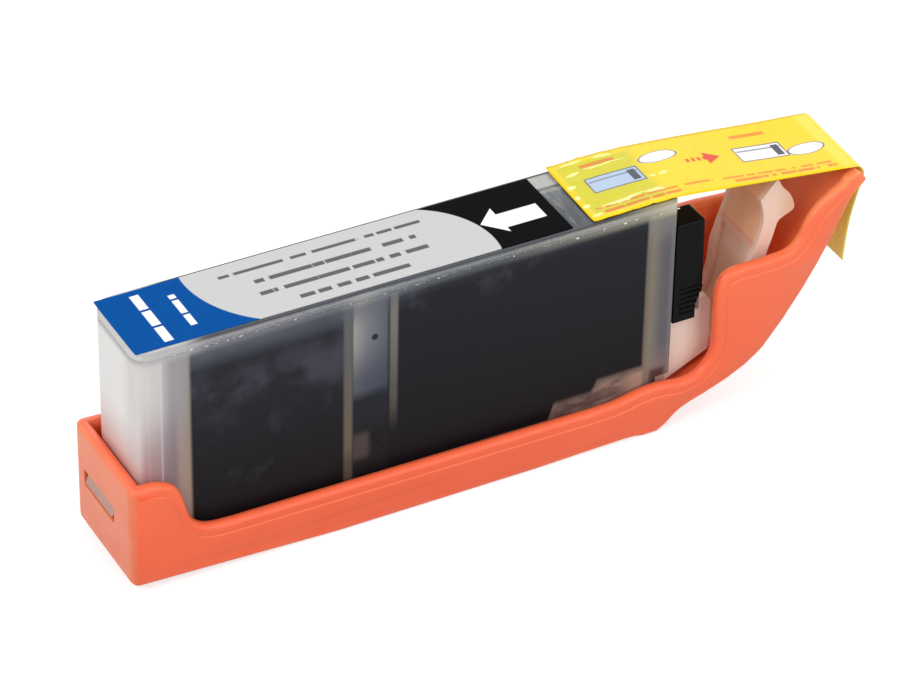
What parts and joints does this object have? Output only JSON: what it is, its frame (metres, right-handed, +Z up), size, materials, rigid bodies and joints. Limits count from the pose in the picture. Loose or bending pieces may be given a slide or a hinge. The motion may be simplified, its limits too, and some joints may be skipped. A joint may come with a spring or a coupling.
{
  "type": "inkjet_ink_cartridge",
  "caption": "Slim black inkjet ink tank with a latch lever, seated in its orange protective cap with the yellow pull tape still on",
  "frame": {"origin": "on the flat underside of the protective cap, 37 mm from the tank's rear end face and on the middle plane", "axes": "+X towards the tail of the cap, +Y across the tank to the far side, +Z up from the resting plane"},
  "size_m": [0.0973, 0.016, 0.0321],
  "materials": {
    "orange_cap": "satin moulded orange polypropylene",
    "seal_rubber": "soft pale elastomer",
    "frosted_tank": "translucent frosted polypropylene",
    "frosted_lid": "translucent frosted polypropylene",
    "bright_steel": "polished ball",
    "black_ink": "liquid black ink",
    "soaked_foam": "ink-soaked foam",
    "dense_foam": "ink-soaked dense felt",
    "steel_screen": "fine woven screen",
    "wick_felt": "felt wick",
    "black_block": "satin black polypropylene",
    "chip_laminate": "green board with contact pads",
    "potting_resin": "black resin drop",
    "label_print": "printed film in blue, grey and black fields",
    "yellow_film": "glossy yellow film"
  },
  "bodies": {
    "root": {"protective_cap": "orange_cap", "cap_seal_pad": "seal_rubber", "tank_body": "frosted_tank", "tank_lid": "frosted_lid", "fill_ball": "bright_steel", "ink_reserve": "black_ink", "ink_column": "black_ink", "absorber_main": "soaked_foam", "absorber_dense": "dense_foam", "outlet_screen": "steel_screen", "outlet_wick": "wick_felt", "end_block": "black_block", "chip_board": "chip_laminate", "chip_potting": "potting_resin", "top_label": "label_print", "pull_tape": "yellow_film"}
  },
  "joints": []
}
